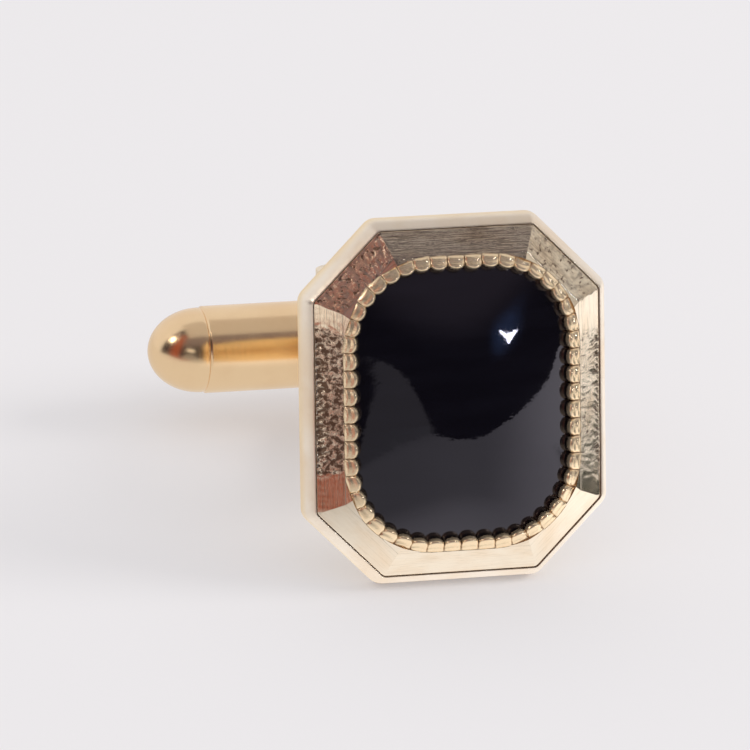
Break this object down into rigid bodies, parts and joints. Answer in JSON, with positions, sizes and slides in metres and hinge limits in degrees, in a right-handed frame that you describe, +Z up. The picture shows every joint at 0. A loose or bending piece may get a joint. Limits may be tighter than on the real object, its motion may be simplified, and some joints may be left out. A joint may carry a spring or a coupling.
{
  "type": "cufflink",
  "caption": "Cufflink with an octagonal faceted face, a ring of lobes round a black domed stone, and a bar that swivels in a fork.",
  "frame": {"origin": "on the table under the cufflink, in the middle of its footprint across and front to back", "axes": "+X to the right of the face seen from the front, the face looks towards -Y and leans back by 14.9 degrees, the bar is at +Y, +Z up"},
  "size_m": [0.021, 0.023, 0.0168],
  "materials": {
    "rim_metal": "polished gold plate",
    "facet_metal": "gold plate over a finely brushed and pitted casting",
    "bead_metal": "polished gold plate",
    "back_metal": "polished gold plate",
    "bar_metal": "polished gold plate",
    "pin_metal": "polished gold plate",
    "black_stone": "gloss",
    "cement": "matt",
    "leaf_steel": "spring temper"
  },
  "bodies": {
    "setting": {"tray": "rim_metal", "bezel_frame": "facet_metal", "bead_ring": "bead_metal", "stone": "black_stone", "stone_cement": "cement", "post": "back_metal", "fork": "back_metal", "pivot_pin": "pin_metal"},
    "bar": {"bar_tube": "bar_metal", "bar_tip_left": "bar_metal", "bar_tip_right": "bar_metal", "friction_leaf": "leaf_steel"}
  },
  "joints": [
    {"name": "bar_swivel", "type": "hinge", "parent": "setting", "child": "bar", "pos_m": [0, 0.00856, 0.00397], "axis": [0, 0.2572, 0.9664], "range_deg": [-90, 90]}
  ]
}
